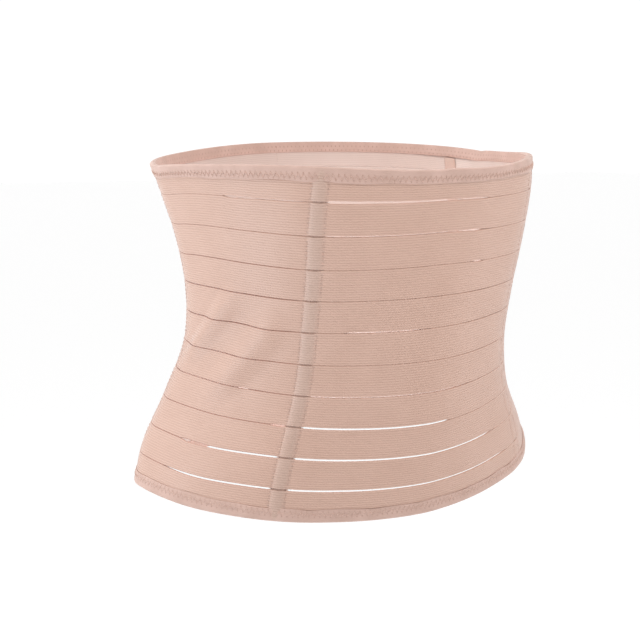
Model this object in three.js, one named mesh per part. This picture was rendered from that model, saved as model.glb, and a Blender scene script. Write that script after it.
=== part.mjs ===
import * as THREE from "three";

// Sizes are in millimetres. The wearer's front faces -Y, their left is +X, and z 0 is the waist.
// A share is a part of the girth, from 0 at the centre front to 0.5 at the centre back, and is
// positive to the left.
// A drop is a length down the cloth from the waist, and a lift is a height off the body form.

// Strips and slits
const STRIP_COUNT = 11;
const STRIP_PITCH = 20;
const LAST_STRIP_WIDER_BY = 0.6;
const STRIP_THICKNESS = 1.5;
const STRIP_LIFT = 1.8;
const SLIT_CLOSED = 0.6;
const SLIT_OPEN = 1.6;
const TOP_RIM_DROP = -107.5;
const BOTTOM_RIM_DROP = TOP_RIM_DROP + STRIP_COUNT * STRIP_PITCH + LAST_STRIP_WIDER_BY;
const FRONT_LOWER_BY = 7.6;
const LEFT_HIGHER_BY = 3.5;
const RIGHT_FLANK_LOWER_BY = 2.6;
const BOTTOM_RIM_SINK = 1;
const STRIP_END_SHARE = 0.4985;

// Bindings folded over the top and bottom edges
const BINDING_THICKNESS = 1.2;
const BINDING_WIDTH = 8.4;
const BINDING_ROUND = 0.6;

// Bone casings behind the strips
const CASING_WIDTH = 9;
const CASING_THICKNESS = 1.4;
const BONE_FLAT_SHARE = 0.0086;
const BONE_FADE_SHARE = 0.016;
const FRONT_BONE = { topShare: 0.1075, middleShare: 0.126, bottomShare: 0.1335, lift: 1.4, casingLift: 1 };
const SIDE_BONE = { topShare: 0.318, middleShare: 0.297, bottomShare: 0.312, lift: 1, casingLift: 0.2 };

// Closure panel at the centre back
const CLOSURE_WIDTH = 56;
const CLOSURE_THICKNESS = 2.2;
const CLOSURE_STEPS = 8;
const CLOSURE_GAP = 0.6;
const CLOSURE_BEND = 0.6;
const CLOSURE_RADIUS = 50;

const GAP = 0.4;

// The body form that the stretched belt keeps, a row for each height
const BODY_SECTIONS = [
  { height: 120, halfWidth: 135, widestY: 15, frontY: -131, backY: 107, frontPower: 1.46 },
  { height: 85, halfWidth: 122, widestY: 19, frontY: -118, backY: 97, frontPower: 2.15 },
  { height: 50, halfWidth: 114, widestY: 10, frontY: -110, backY: 86, frontPower: 2.25 },
  { height: 15, halfWidth: 111, widestY: 0, frontY: -105, backY: 83, frontPower: 2 },
  { height: -20, halfWidth: 112.5, widestY: 4, frontY: -102, backY: 80, frontPower: 1.86 },
  { height: -55, halfWidth: 126, widestY: 11, frontY: -101, backY: 80, frontPower: 1.74 },
  { height: -90, halfWidth: 143, widestY: 14, frontY: -98, backY: 78, frontPower: 1.84 },
  { height: -125, halfWidth: 153, widestY: 4, frontY: -95, backY: 76, frontPower: 1.8 },
];
const SECTION_STEP = 35;

// The slits from the top down, and how far each sinks on the right flank
const SLITS = [
  { drop: -87.8, sink: -0.4 },
  { drop: -67.8, sink: 0 },
  { drop: -47.5, sink: 0 },
  { drop: -27.8, sink: -0.3 },
  { drop: -7.8, sink: -1 },
  { drop: 13, sink: 0 },
  { drop: 33.2, sink: 0.2 },
  { drop: 53.6, sink: 0.6 },
  { drop: 73.7, sink: 1.4 },
  { drop: 93.2, sink: 1.6 },
];
const SINK_SHARE = -0.215;
const SINK_REACH = 0.045;

// The parts of a slit that the stretch has pulled open
const OPEN_SLITS = [
  { slit: 1, fromShare: -0.183, toShare: -0.17, fade: 0.006 },
  { slit: 1, fromShare: -0.104, toShare: 0.03, fade: 0.012 },
  { slit: 2, fromShare: 0.018, toShare: 0.032, fade: 0.012 },
  { slit: 5, fromShare: -0.086, toShare: -0.033, fade: 0.01 },
  { slit: 8, fromShare: -0.147, toShare: 0, fade: 0.01 },
  { slit: 9, fromShare: -0.232, toShare: 0.062, fade: 0.015 },
  { slit: 10, fromShare: -0.222, toShare: 0.085, fade: 0.02 },
];

// The slanting folds on the right flank, each steeper on one side
const FOLDS = [
  { fromShare: -0.2, fromDrop: -26, toShare: -0.268, toDrop: 23, lift: 3.7, frontWidth: 12, backWidth: 11 },
  { fromShare: -0.155, fromDrop: -14, toShare: -0.222, toDrop: 41, lift: 3.3, frontWidth: 15, backWidth: 16 },
];
const FOLD_GIRTH = 670;
const FOLD_END_REACH = 0.15;
const FOLD_END_FADE = 0.4;

// Columns round the belt: the stops are the bones, and the steps are the faces between two stops
const PANEL_STEPS = [11, 1, 1, 10, 1, 1, 11, 1, 1, 9, 1, 1, 11];

// Turns, in radians from the centre front, where the right flank begins, is full, and ends behind
const FLANK_FROM = 1.22;
const FLANK_RISE = 0.61;
const FLANK_FALL = 0.87;

const TURN_STEPS = 240;
const HEIGHT_FIRST = 125;
const HEIGHT_LAST = -130;
const DROP_FIRST = -118;
const DROP_STEP = 3;
const DROP_ROWS = 82;
const SIDE_STEP = 0.006;
const DOWN_STEP = 4;

function smooth(x) {
  const t = THREE.MathUtils.clamp(x, 0, 1);
  return t * t * (3 - 2 * t);
}

// One size of the body form at a height, on a smooth line through the rows
function sizeAt(column, height) {
  const last = BODY_SECTIONS.length - 1;
  const place = THREE.MathUtils.clamp((BODY_SECTIONS[0].height - height) / SECTION_STEP, 0, last);
  const i = Math.min(Math.floor(place), last - 1);
  const f = place - i;
  const here = BODY_SECTIONS[i][column];
  const next = BODY_SECTIONS[i + 1][column];
  const before = i > 0 ? BODY_SECTIONS[i - 1][column] : 2 * here - next;
  const after = i < last - 1 ? BODY_SECTIONS[i + 2][column] : 2 * next - here;
  const slopeHere = (next - before) / 2;
  const slopeNext = (after - here) / 2;
  const keep = 2 * f ** 3 - 3 * f ** 2 + 1;
  const bend = slopeHere * (f ** 3 - 2 * f ** 2 + f) + slopeNext * (f ** 3 - f ** 2);
  return here * keep + next * (1 - keep) + bend;
}

// How far the level lines of the cloth sink at a turn round the body
function lowerAt(turn) {
  const flank = smooth((-turn - FLANK_FROM) / FLANK_RISE) * smooth((Math.PI + turn) / FLANK_FALL);
  return FRONT_LOWER_BY * Math.cos(turn) - LEFT_HIGHER_BY * Math.sin(turn) + RIGHT_FLANK_LOWER_BY * flank;
}

function bodyPoint(size, height, turn) {
  const front = Math.abs(turn) < Math.PI / 2;
  const power = 2 / (front ? size.frontPower : 2);
  const across = Math.abs(Math.sin(turn)) ** power * Math.sign(Math.sin(turn));
  const along = Math.abs(Math.cos(turn)) ** power;
  const endY = front ? size.frontY : size.backY;
  return new THREE.Vector3(size.halfWidth * across, size.widestY + (endY - size.widestY) * along, height);
}

// The body form as rows of points, each row at one drop, with the share of each point
function makeForm() {
  const columns = ["halfWidth", "widestY", "frontY", "backY", "frontPower"];
  const sizes = [];
  for (let height = HEIGHT_FIRST; height >= HEIGHT_LAST; height -= 1) {
    sizes.push(Object.fromEntries(columns.map((name) => [name, sizeAt(name, height)])));
  }
  const rows = Array.from({ length: DROP_ROWS }, () => []);
  for (let n = 0; n <= TURN_STEPS; n += 1) {
    const turn = Math.PI * (2 * n / TURN_STEPS - 1);
    const line = sizes.map((size, i) => bodyPoint(size, HEIGHT_FIRST - i, turn));
    const drops = [0];
    for (let i = 1; i < line.length; i += 1) {
      drops.push(drops[i - 1] + line[i].distanceTo(line[i - 1]));
    }
    const waist = drops[HEIGHT_FIRST];
    const lower = lowerAt(turn);
    let i = 1;
    rows.forEach((row, r) => {
      const wanted = waist + DROP_FIRST + r * DROP_STEP + lower;
      while (i < line.length - 1 && drops[i] < wanted) {
        i += 1;
      }
      const f = (wanted - drops[i - 1]) / (drops[i] - drops[i - 1]);
      row.push(line[i - 1].clone().lerp(line[i], f));
    });
  }
  return rows.map((points) => {
    const runs = [0];
    for (let n = 1; n < points.length; n += 1) {
      runs.push(runs[n - 1] + points[n].distanceTo(points[n - 1]));
    }
    const middle = runs[TURN_STEPS / 2];
    const girth = runs[TURN_STEPS];
    return { points, girth, shares: runs.map((run) => (run - middle) / girth) };
  });
}

const form = makeForm();

function pointInRow(row, share) {
  const whole = row.shares[TURN_STEPS] - row.shares[0];
  const wrapped = share - whole * Math.floor((share - row.shares[0]) / whole);
  let low = 0;
  let high = TURN_STEPS;
  while (high - low > 1) {
    const middle = (low + high) >> 1;
    if (row.shares[middle] <= wrapped) {
      low = middle;
    } else {
      high = middle;
    }
  }
  const f = (wrapped - row.shares[low]) / (row.shares[high] - row.shares[low]);
  return row.points[low].clone().lerp(row.points[high], f);
}

function formPoint(share, drop) {
  const place = THREE.MathUtils.clamp((drop - DROP_FIRST) / DROP_STEP, 0, DROP_ROWS - 1.001);
  const r = Math.floor(place);
  return pointInRow(form[r], share).lerp(pointInRow(form[r + 1], share), place - r);
}

function formNormal(share, drop) {
  const round = formPoint(share + SIDE_STEP, drop).sub(formPoint(share - SIDE_STEP, drop));
  const down = formPoint(share, drop + DOWN_STEP).sub(formPoint(share, drop - DOWN_STEP));
  return down.cross(round).normalize();
}

function boneShare(bone, drop) {
  const f = THREE.MathUtils.clamp((drop - TOP_RIM_DROP) / (BOTTOM_RIM_DROP - TOP_RIM_DROP), 0, 1);
  const top = bone.topShare * (1 - f) * (1 - 2 * f);
  const middle = bone.middleShare * 4 * f * (1 - f);
  const bottom = bone.bottomShare * f * (2 * f - 1);
  return top + middle + bottom;
}

// How far the cloth stands off the form over a bone or on a fold
function reliefAt(share, drop) {
  let lift = 0;
  for (const bone of [FRONT_BONE, SIDE_BONE]) {
    const away = Math.abs(Math.abs(share) - boneShare(bone, drop)) - BONE_FLAT_SHARE;
    lift = Math.max(lift, bone.lift * smooth(1 - away / BONE_FADE_SHARE));
  }
  for (const fold of FOLDS) {
    const runX = (fold.toShare - fold.fromShare) * FOLD_GIRTH;
    const runY = fold.toDrop - fold.fromDrop;
    const x = (share - fold.fromShare) * FOLD_GIRTH;
    const y = drop - fold.fromDrop;
    const length = Math.hypot(runX, runY);
    const along = (x * runX + y * runY) / length ** 2;
    const aside = (x * runY - y * runX) / length;
    const width = aside > 0 ? fold.frontWidth : fold.backWidth;
    const begins = smooth((along + FOLD_END_REACH) / FOLD_END_FADE);
    const ends = smooth((1 + FOLD_END_REACH - along) / FOLD_END_FADE);
    lift += fold.lift * begins * ends * smooth(1 - Math.abs(aside) / width);
  }
  return lift;
}

function clothPoint(share, drop, lift) {
  const point = formPoint(share, drop);
  return point.addScaledVector(formNormal(share, drop), reliefAt(share, drop) + lift);
}

function sinkAt(share) {
  return Math.exp(-(((share - SINK_SHARE) / SINK_REACH) ** 2));
}

function slitDrop(slit, share) {
  return SLITS[slit - 1].drop + SLITS[slit - 1].sink * sinkAt(share);
}

function bottomRim(share) {
  return BOTTOM_RIM_DROP + BOTTOM_RIM_SINK * sinkAt(share);
}

function slitWidth(slit, share) {
  let open = 0;
  for (const part of OPEN_SLITS.filter((row) => row.slit === slit)) {
    const from = smooth((share - part.fromShare) / part.fade + 1);
    const to = smooth((part.toShare - share) / part.fade + 1);
    open = Math.max(open, Math.min(from, to));
  }
  return SLIT_CLOSED + (SLIT_OPEN - SLIT_CLOSED) * open;
}

// The shares of the columns at a drop
function columnShares(drop) {
  const half = [];
  for (const bone of [FRONT_BONE, SIDE_BONE]) {
    const middle = boneShare(bone, drop);
    half.push(middle - BONE_FLAT_SHARE, middle, middle + BONE_FLAT_SHARE);
  }
  half.push(STRIP_END_SHARE);
  const stops = [...half.map((share) => -share).reverse(), ...half];
  const shares = [stops[0]];
  PANEL_STEPS.forEach((steps, i) => {
    for (let n = 1; n <= steps; n += 1) {
      shares.push(stops[i] + (stops[i + 1] - stops[i]) * n / steps);
    }
  });
  return shares;
}

const COLUMNS = PANEL_STEPS.reduce((sum, steps) => sum + steps, 0) + 1;

// A closed solid from a row of like sections: walls between the sections, and a face at each end
function solidFromSections(sections, outline) {
  const count = outline.length;
  const positions = sections.flat().flatMap((point) => point.toArray());
  const faces = [];
  for (let s = 0; s + 1 < sections.length; s += 1) {
    for (let i = 0; i < count; i += 1) {
      const a = s * count + i;
      const b = s * count + (i + 1) % count;
      faces.push(a, b, b + count, a, b + count, a + count);
    }
  }
  const last = (sections.length - 1) * count;
  const clockwise = THREE.ShapeUtils.isClockWise(outline);
  for (const [a, b, c] of THREE.ShapeUtils.triangulateShape(outline, [])) {
    const [second, third] = clockwise ? [c, b] : [b, c];
    faces.push(a, third, second, last + a, last + second, last + third);
  }
  const geometry = new THREE.BufferGeometry();
  geometry.setAttribute("position", new THREE.Float32BufferAttribute(positions, 3));
  geometry.setIndex(faces);
  turnOutwards(geometry);
  geometry.computeVertexNormals();
  return geometry;
}

// Turns every face over if the solid is inside out
function turnOutwards(geometry) {
  const position = geometry.getAttribute("position");
  const index = geometry.getIndex();
  const corner = [0, 1, 2].map(() => new THREE.Vector3());
  let volume = 0;
  for (let f = 0; f < index.count; f += 3) {
    corner.forEach((point, i) => point.fromBufferAttribute(position, index.getX(f + i)));
    volume += corner[0].dot(corner[1].clone().cross(corner[2]));
  }
  if (volume > 0) {
    return;
  }
  for (let f = 0; f < index.count; f += 3) {
    const second = index.getX(f + 1);
    index.setX(f + 1, index.getX(f + 2));
    index.setX(f + 2, second);
  }
}

// A band round the belt from an outline of lifts and drops that may change along it
function bandGeometry(outlineAt) {
  const sections = [];
  for (let c = 0; c < COLUMNS; c += 1) {
    const rough = columnShares(0)[c];
    sections.push(outlineAt(rough).map(({ lift, drop }) => clothPoint(columnShares(drop)[c], drop, lift)));
  }
  const flat = outlineAt(0).map(({ lift, drop }) => new THREE.Vector2(lift, drop));
  return solidFromSections(sections, flat);
}

const elastic = new THREE.MeshStandardMaterial({ name: "ribbed_elastic", color: 0xdcb9a9, roughness: 0.8 });
const binding = new THREE.MeshStandardMaterial({ name: "folded_elastic", color: 0xd4ab9b, roughness: 0.7 });
const tape = new THREE.MeshStandardMaterial({ name: "casing_tape", color: 0xc79c8b, roughness: 0.85 });
const panel = new THREE.MeshStandardMaterial({ name: "closure_cloth", color: 0xd8b3a3, roughness: 0.9 });

const group = new THREE.Group();
group.name = "postpartum_belly_band";

function addPiece(name, geometry, material) {
  const mesh = new THREE.Mesh(geometry, material);
  mesh.name = name;
  group.add(mesh);
}

// Strips
const RIM_INSET = BINDING_THICKNESS + GAP;
for (let n = 1; n <= STRIP_COUNT; n += 1) {
  const geometry = bandGeometry((share) => {
    const drops = [];
    if (n === 1) {
      drops.push(TOP_RIM_DROP + RIM_INSET, TOP_RIM_DROP + BINDING_WIDTH);
    } else {
      drops.push(slitDrop(n - 1, share) + slitWidth(n - 1, share) / 2);
    }
    if (n === STRIP_COUNT) {
      drops.push(bottomRim(share) - BINDING_WIDTH, bottomRim(share) - RIM_INSET);
    } else {
      drops.push(slitDrop(n, share) - slitWidth(n, share) / 2);
    }
    const outside = drops.map((drop) => ({ lift: STRIP_LIFT + STRIP_THICKNESS, drop }));
    const inside = drops.map((drop) => ({ lift: STRIP_LIFT, drop }));
    return [...outside, ...inside.reverse()];
  });
  addPiece(`strip_${String(n).padStart(2, "0")}`, geometry, elastic);
}

// Bindings
const OUTER_LIFT = STRIP_LIFT + STRIP_THICKNESS + GAP + BINDING_THICKNESS;
const INNER_LIFT = STRIP_LIFT - GAP - BINDING_THICKNESS;
function bindingGeometry(rimAt, inwards) {
  const outline = [
    { lift: OUTER_LIFT, depth: BINDING_WIDTH },
    { lift: OUTER_LIFT, depth: BINDING_ROUND },
    { lift: OUTER_LIFT - BINDING_ROUND, depth: 0 },
    { lift: INNER_LIFT + BINDING_ROUND, depth: 0 },
    { lift: INNER_LIFT, depth: BINDING_ROUND },
    { lift: INNER_LIFT, depth: BINDING_WIDTH },
    { lift: INNER_LIFT + BINDING_THICKNESS, depth: BINDING_WIDTH },
    { lift: INNER_LIFT + BINDING_THICKNESS, depth: BINDING_THICKNESS },
    { lift: OUTER_LIFT - BINDING_THICKNESS, depth: BINDING_THICKNESS },
    { lift: OUTER_LIFT - BINDING_THICKNESS, depth: BINDING_WIDTH },
  ];
  const downwards = inwards > 0 ? outline : outline.reverse();
  return bandGeometry((share) => {
    const rim = rimAt(share);
    return downwards.map(({ lift, depth }) => ({ lift, drop: rim + inwards * depth }));
  });
}
addPiece("top_binding", bindingGeometry(() => TOP_RIM_DROP, 1), binding);
addPiece("bottom_binding", bindingGeometry(bottomRim, -1), binding);

// Bone casings, from the upper binding's inner edge to the lower one's
const CASING_ROWS = 22;
function casingGeometry(bone, side) {
  const first = TOP_RIM_DROP + BINDING_WIDTH + 2 * GAP;
  const last = BOTTOM_RIM_DROP - BINDING_WIDTH - 2 * GAP;
  const outline = [
    new THREE.Vector2(-1, 0),
    new THREE.Vector2(1, 0),
    new THREE.Vector2(1, 1),
    new THREE.Vector2(-1, 1),
  ];
  const sections = [];
  for (let r = 0; r <= CASING_ROWS; r += 1) {
    const drop = first + (last - first) * r / CASING_ROWS;
    const share = side * boneShare(bone, drop);
    const centre = formPoint(share, drop);
    const normal = formNormal(share, drop);
    const round = formPoint(share + SIDE_STEP, drop).sub(formPoint(share - SIDE_STEP, drop)).normalize();
    sections.push(outline.map(({ x, y }) => {
      const point = centre.clone().addScaledVector(round, x * CASING_WIDTH / 2);
      return point.addScaledVector(normal, bone.casingLift + y * CASING_THICKNESS);
    }));
  }
  return solidFromSections(sections, outline);
}
addPiece("bone_casing_front_right", casingGeometry(FRONT_BONE, -1), tape);
addPiece("bone_casing_front_left", casingGeometry(FRONT_BONE, 1), tape);
addPiece("bone_casing_side_right", casingGeometry(SIDE_BONE, -1), tape);
addPiece("bone_casing_side_left", casingGeometry(SIDE_BONE, 1), tape);

// Closure panel, which steps out over the bindings at its two ends
const CLOSURE_ROWS = [
  { depth: 0.5, overBinding: true },
  { depth: 9.2, overBinding: true },
  { depth: 10.6, overBinding: false },
  { depth: 20, overBinding: false },
  { depth: 40, overBinding: false },
  { depth: 60, overBinding: false },
  { depth: 80, overBinding: false },
  { depth: 100, overBinding: false },
];
function closureGeometry() {
  const upper = CLOSURE_ROWS.map((row) => ({ drop: TOP_RIM_DROP + row.depth, over: row.overBinding }));
  const lower = CLOSURE_ROWS.map((row) => ({ drop: BOTTOM_RIM_DROP - row.depth, over: row.overBinding }));
  const sections = [...upper, ...lower.reverse()].map(({ drop, over }) => {
    const inner = (over ? OUTER_LIFT : STRIP_LIFT + STRIP_THICKNESS) + CLOSURE_GAP;
    const half = CLOSURE_WIDTH / 2 / form[Math.round((drop - DROP_FIRST) / DROP_STEP)].girth;
    const inside = [];
    const outside = [];
    for (let n = 0; n <= CLOSURE_STEPS; n += 1) {
      const share = 0.5 + half * (2 * n / CLOSURE_STEPS - 1);
      inside.push(clothPoint(share, drop, inner));
      outside.unshift(clothPoint(share, drop, inner + CLOSURE_THICKNESS));
    }
    return [...inside, ...outside];
  });
  const outline = [];
  const bend = (n) => CLOSURE_BEND * (n / CLOSURE_STEPS - 0.5);
  for (let n = 0; n <= CLOSURE_STEPS; n += 1) {
    outline.push(new THREE.Vector2(Math.sin(bend(n)), Math.cos(bend(n))).multiplyScalar(CLOSURE_RADIUS));
  }
  for (let n = CLOSURE_STEPS; n >= 0; n -= 1) {
    const outer = CLOSURE_RADIUS + CLOSURE_THICKNESS;
    outline.push(new THREE.Vector2(Math.sin(bend(n)), Math.cos(bend(n))).multiplyScalar(outer));
  }
  return solidFromSections(sections, outline);
}
addPiece("back_closure", closureGeometry(), panel);

export default group;
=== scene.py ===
import bpy
import numpy as np
from mathutils import Matrix


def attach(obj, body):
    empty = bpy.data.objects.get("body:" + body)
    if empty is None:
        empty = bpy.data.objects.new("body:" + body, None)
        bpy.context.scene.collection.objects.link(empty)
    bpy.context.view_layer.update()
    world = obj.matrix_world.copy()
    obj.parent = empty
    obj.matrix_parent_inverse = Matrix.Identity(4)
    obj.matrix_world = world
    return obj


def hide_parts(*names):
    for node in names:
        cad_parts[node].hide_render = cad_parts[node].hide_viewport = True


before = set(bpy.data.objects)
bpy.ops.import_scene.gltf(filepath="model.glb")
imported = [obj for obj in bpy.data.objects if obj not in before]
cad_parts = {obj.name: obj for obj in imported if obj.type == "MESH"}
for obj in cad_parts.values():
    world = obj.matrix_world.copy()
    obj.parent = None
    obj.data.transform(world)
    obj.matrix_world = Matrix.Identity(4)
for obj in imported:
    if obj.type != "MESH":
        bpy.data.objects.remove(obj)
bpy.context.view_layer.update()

# Elastic strips
# Eleven level strips of ribbed elastic, knitted of rubber threads wrapped in nylon, and held together only by
# the bone casings and the back closure. Worn, they stretch to the body's form, and pull some slits open.
mm = 0.001
strip_count = 11
strip_pitch = 20.0
strip_thickness = 1.5
strip_lift = 1.8  # from the body's form to the strip's inner face
strip_end_share = 0.49997  # of the girth, from the centre front to a strip's end
top_rim_drop = -107.5  # down the cloth from the waist
last_strip_extra = 0.6  # the last strip is a little wider
bottom_rim_drop = top_rim_drop + strip_count * strip_pitch + last_strip_extra
front_lower_by = 7.6
left_higher_by = 3.5
right_flank_lower_by = 2.6
flank_from, flank_rise, flank_fall = 1.22, 0.61, 0.87  # radians round from the front, and from the back
waist_girth = 660.0
form_top, form_foot = 125.0, -131.0
body_sections = [
    dict(height=120, half_width=135, widest_y=15, front_y=-131, back_y=107, front_power=1.46),
    dict(height=85, half_width=122, widest_y=19, front_y=-118, back_y=97, front_power=2.15),
    dict(height=50, half_width=114, widest_y=10, front_y=-110, back_y=86, front_power=2.25),
    dict(height=15, half_width=111, widest_y=0, front_y=-105, back_y=83, front_power=2.0),
    dict(height=-20, half_width=112.5, widest_y=4, front_y=-102, back_y=80, front_power=1.86),
    dict(height=-55, half_width=126, widest_y=11, front_y=-101, back_y=80, front_power=1.74),
    dict(height=-90, half_width=143, widest_y=14, front_y=-98, back_y=78, front_power=1.84),
    dict(height=-125, half_width=153, widest_y=4, front_y=-95, back_y=76, front_power=1.8),
]


def smooth(x):
    """An even rise from 0 to 1."""
    t = np.clip(x, 0.0, 1.0)
    return t * t * (3 - 2 * t)


def body_size(column, heights):
    """One size of the body's form at each height, on a smooth line through the rows."""
    row = np.array([section[column] for section in body_sections], float)
    top, step = body_sections[0]["height"], body_sections[0]["height"] - body_sections[1]["height"]
    place = np.clip((top - heights) / step, 0, len(row) - 1)
    i = np.minimum(place.astype(int), len(row) - 2)
    f = place - i
    padded = np.concatenate([[2 * row[0] - row[1]], row, [2 * row[-1] - row[-2]]])
    before, here, after, beyond = padded[i], padded[i + 1], padded[i + 2], padded[i + 3]
    keep = 2 * f**3 - 3 * f**2 + 1
    bend = (after - before) / 2 * (f**3 - 2 * f**2 + f) + (beyond - here) / 2 * (f**3 - f**2)
    return here * keep + after * (1 - keep) + bend


net_shares = np.linspace(-0.56, 0.56, 897)
net_drops = np.arange(-120.0, 126.0)


def lay_form_net():
    """Points, outward directions and girths of the body's form on an even net of girth shares and drops."""
    heights = np.arange(form_top, form_foot, -1.0)
    turns = np.linspace(-np.pi, np.pi, 481)
    size = {column: body_size(column, heights) for column in body_sections[0]}
    front = (np.abs(turns) < np.pi / 2)[:, None]
    power = np.where(front, 2 / size["front_power"], 1.0)
    sine, cosine = np.sin(turns)[:, None], np.cos(turns)[:, None]
    x = size["half_width"] * np.sign(sine) * np.abs(sine) ** power
    end_y = np.where(front, size["front_y"], size["back_y"])
    y = size["widest_y"] + (end_y - size["widest_y"]) * np.abs(cosine) ** power
    lines = np.stack([x, y, np.broadcast_to(heights, x.shape)], -1)
    lengths = np.linalg.norm(np.diff(lines, axis=1), axis=2)
    drops = np.concatenate([np.zeros((len(turns), 1)), np.cumsum(lengths, axis=1)], axis=1)
    drops = drops - drops[:, [int(form_top)]]  # from the waist, at height 0
    flank = smooth((-turns - flank_from) / flank_rise) * smooth((np.pi + turns) / flank_fall)
    lower = front_lower_by * np.cos(turns) - left_higher_by * np.sin(turns) + right_flank_lower_by * flank
    rows = np.zeros((len(turns), len(net_drops), 3))
    for t in range(len(turns)):
        for axis in range(3):
            rows[t, :, axis] = np.interp(net_drops + lower[t], drops[t], lines[t, :, axis])
    net = np.zeros((len(net_shares), len(net_drops), 3))
    girths = np.zeros(len(net_drops))
    for r in range(len(net_drops)):
        run = np.concatenate([[0], np.cumsum(np.linalg.norm(np.diff(rows[:, r], axis=0), axis=1))])
        girths[r] = run[-1]
        shares = (run - run[len(turns) // 2]) / run[-1]
        for axis in range(3):
            net[:, r, axis] = np.interp(net_shares, shares[:-1], rows[:-1, r, axis], period=1.0)
    outward = np.cross(np.gradient(net, axis=1), np.gradient(net, axis=0))
    return net, outward / np.linalg.norm(outward, axis=2, keepdims=True), girths


form_net, form_outward, form_girths = lay_form_net()


def cloth(share, drop, lift):
    """Points in metres at shares of the girth, drops down the cloth and lifts off the body's form."""
    share, drop, lift = np.broadcast_arrays(share, drop, lift)
    i = np.clip((share - net_shares[0]) / (net_shares[1] - net_shares[0]), 0, len(net_shares) - 1.001)
    j = np.clip(drop - net_drops[0], 0, len(net_drops) - 1.001)
    i0, j0 = i.astype(int), j.astype(int)
    f, g = (i - i0)[..., None], (j - j0)[..., None]
    found = []
    for table in (form_net, form_outward):
        upper = table[i0, j0] * (1 - f) + table[i0 + 1, j0] * f
        lower = table[i0, j0 + 1] * (1 - f) + table[i0 + 1, j0 + 1] * f
        found.append(upper * (1 - g) + lower * g)
    return (found[0] + found[1] * lift[..., None]) * mm


def girth_at(drop):
    return np.interp(drop, net_drops, form_girths)


# The bones: how far round they stand, how far they lift the cloth, and the two sewn rows that hold each one
bones = {
    "front": dict(top=0.1075, middle=0.126, bottom=0.1335, lift=1.4),
    "side": dict(top=0.318, middle=0.297, bottom=0.312, lift=0.6),
}
bones_part = 0.2  # of the girth, between a front bone and a side bone
rise_flat, rise_fade = 5.0, 34.0  # the broad lift is full this near to a bone's middle, then fades over this
front_bulge = dict(right=0.95, left=0.2)  # a narrow ridge over each front bone. The side ones lie flat
bulge_reach = 4.4  # from a bone's middle to the foot of its ridge
bone_seam = 4.8  # from a bone's middle to each sewn row
stitch_step = 2.8
seam_pull, seam_reach = 0.16, 0.8  # how much of the ridge's height a sewn row draws in, and how far round it


def bone_share(place, drop):
    row = bones[place]
    f = np.clip((np.asarray(drop) - top_rim_drop) / (bottom_rim_drop - top_rim_drop), 0, 1)
    at_top, at_middle, at_bottom = (1 - f) * (1 - 2 * f), 4 * f * (1 - f), f * (2 * f - 1)
    return row["top"] * at_top + row["middle"] * at_middle + row["bottom"] * at_bottom


def from_bone(share, drop):
    """Millimetres from the middle of the nearest bone."""
    away = [np.abs(np.abs(share) - bone_share(place, drop)) for place in bones]
    return np.minimum(*away) * girth_at(drop)


def over_bones(share, drop):
    """The broad rise of the cloth over each bone's casing."""
    lift = np.where(np.abs(share) < bones_part, bones["front"]["lift"], bones["side"]["lift"])
    return lift * smooth(1 - (from_bone(share, drop) - rise_flat) / rise_fade)


# The slanting folds on the right flank, with how far each spreads ahead of its crest and behind it
folds = [
    dict(from_share=-0.200, from_drop=-26, to_share=-0.268, to_drop=23, lift=3.7, ahead=12, behind=11),
    dict(from_share=-0.155, from_drop=-14, to_share=-0.222, to_drop=41, lift=3.3, ahead=15, behind=16),
]
fold_beyond, fold_fade = 0.15, 0.4  # parts of a fold's length


def relief(share, drop):
    """How far the cloth stands off the body's form over the bones and on the folds."""
    away = from_bone(share, drop)
    bulge = np.where(share < 0, front_bulge["right"], front_bulge["left"]) * (np.abs(share) < bones_part)
    lift = over_bones(share, drop) + bulge * np.clip(1 - (away / bulge_reach) ** 2, 0, 1)
    needle = 0.25 + 0.75 * np.clip(np.cos(2 * np.pi * drop / stitch_step), 0, 1)
    lift = lift - seam_pull * bulge * needle * np.exp(-(((away - bone_seam) / seam_reach) ** 2))
    for fold in folds:
        run_x = (fold["to_share"] - fold["from_share"]) * waist_girth
        run_y = fold["to_drop"] - fold["from_drop"]
        x, y = (share - fold["from_share"]) * waist_girth, drop - fold["from_drop"]
        length = np.hypot(run_x, run_y)
        along = (x * run_x + y * run_y) / length**2
        aside = (x * run_y - y * run_x) / length
        spread = np.where(aside > 0, fold["ahead"], fold["behind"])
        ends = smooth((along + fold_beyond) / fold_fade) * smooth((1 + fold_beyond - along) / fold_fade)
        lift = lift + fold["lift"] * ends * smooth(1 - np.abs(aside) / spread)
    return lift


# The slits: how far down each lies, how far it sinks on the right flank, and how far its edges part on that
# flank, beside it, in front and on the left
slits = [
    dict(drop=-87.8, sink=-0.4, flank=0.01, beside=0.58, front=0.00, left=0.00),
    dict(drop=-67.8, sink=0.0, flank=0.06, beside=0.03, front=0.40, left=0.00),
    dict(drop=-47.5, sink=0.0, flank=0.11, beside=0.06, front=0.04, left=0.02),
    dict(drop=-27.8, sink=-0.3, flank=0.22, beside=0.16, front=0.10, left=0.15),
    dict(drop=-7.8, sink=-1.0, flank=0.22, beside=0.12, front=0.05, left=0.15),
    dict(drop=13.0, sink=0.0, flank=0.22, beside=0.04, front=0.07, left=0.12),
    dict(drop=33.2, sink=0.2, flank=0.18, beside=0.04, front=0.39, left=0.08),
    dict(drop=53.6, sink=0.6, flank=0.05, beside=0.03, front=0.00, left=0.03),
    dict(drop=73.7, sink=1.4, flank=0.04, beside=0.03, front=0.00, left=0.00),
    dict(drop=93.2, sink=1.6, flank=0.02, beside=0.00, front=0.00, left=0.00),
]
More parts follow.
